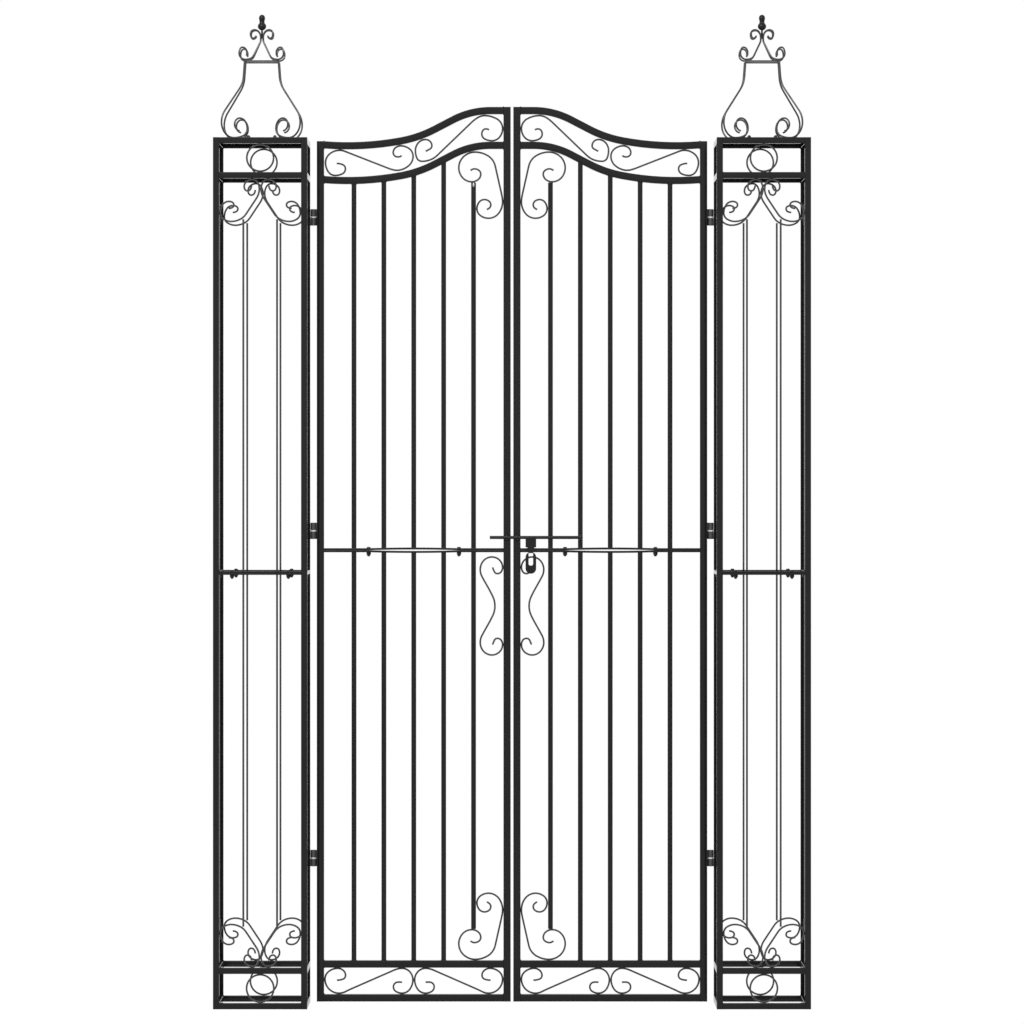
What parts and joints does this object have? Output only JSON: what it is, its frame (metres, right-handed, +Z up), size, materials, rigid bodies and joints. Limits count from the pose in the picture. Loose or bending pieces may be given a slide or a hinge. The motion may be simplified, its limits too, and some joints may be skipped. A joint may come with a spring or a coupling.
{
  "type": "wrought iron double gate",
  "caption": "Black wrought iron double gate with a swept top, scrollwork, open lattice posts with scrolled finials and a slide bolt.",
  "frame": {"origin": "underside of the left post's front bottom rail, at the middle of its length and depth", "axes": "+X along the gate to the right post, +Y to the back of the gate, +Z up"},
  "size_m": [1.22, 0.1986, 2.0367],
  "materials": {
    "black_paint": "satin black paint on steel",
    "washer_nylon": "pale nylon"
  },
  "bodies": {
    "posts": {"left_post_front_lower": "black_paint", "left_post_front_upper": "black_paint", "left_post_back_lower": "black_paint", "left_post_back_upper": "black_paint", "left_post_outer_lower": "black_paint", "left_post_outer_upper": "black_paint", "left_post_inner_lower": "black_paint", "left_post_inner_upper": "black_paint", "left_post_scrolls": "black_paint", "left_finial_cross": "black_paint", "left_finial_bell": "black_paint", "left_finial_crown": "black_paint", "left_finial_spire": "black_paint", "left_hinge_pins": "black_paint", "left_hinge_washers": "washer_nylon", "right_post_front_lower": "black_paint", "right_post_front_upper": "black_paint", "right_post_back_lower": "black_paint", "right_post_back_upper": "black_paint", "right_post_outer_lower": "black_paint", "right_post_outer_upper": "black_paint", "right_post_inner_lower": "black_paint", "right_post_inner_upper": "black_paint", "right_post_scrolls": "black_paint", "right_finial_cross": "black_paint", "right_finial_bell": "black_paint", "right_finial_crown": "black_paint", "right_finial_spire": "black_paint", "right_hinge_pins": "black_paint", "right_hinge_washers": "washer_nylon"},
    "left_leaf": {"left_leaf_lower": "black_paint", "left_leaf_upper": "black_paint", "left_leaf_scrolls": "black_paint", "left_hinge_knuckles": "black_paint", "bolt_keeper": "black_paint"},
    "right_leaf": {"right_leaf_lower": "black_paint", "right_leaf_upper": "black_paint", "right_leaf_scrolls": "black_paint", "right_hinge_knuckles": "black_paint", "bolt_guides": "black_paint"},
    "bolt": {"slide_bolt": "black_paint"}
  },
  "joints": [
    {"name": "left_leaf_swing", "type": "hinge", "parent": "posts", "child": "left_leaf", "pos_m": [0.103, 0.1857, 0.9745], "axis": [0, 0, 1], "range_deg": [0, 100]},
    {"name": "right_leaf_swing", "type": "hinge", "parent": "posts", "child": "right_leaf", "pos_m": [0.9247, 0.1857, 0.9745], "axis": [0, 0, -1], "range_deg": [0, 100]},
    {"name": "bolt_slide", "type": "slide", "parent": "right_leaf", "child": "bolt", "axis": [1, 0, 0], "range_m": [0, 0.05]}
  ]
}
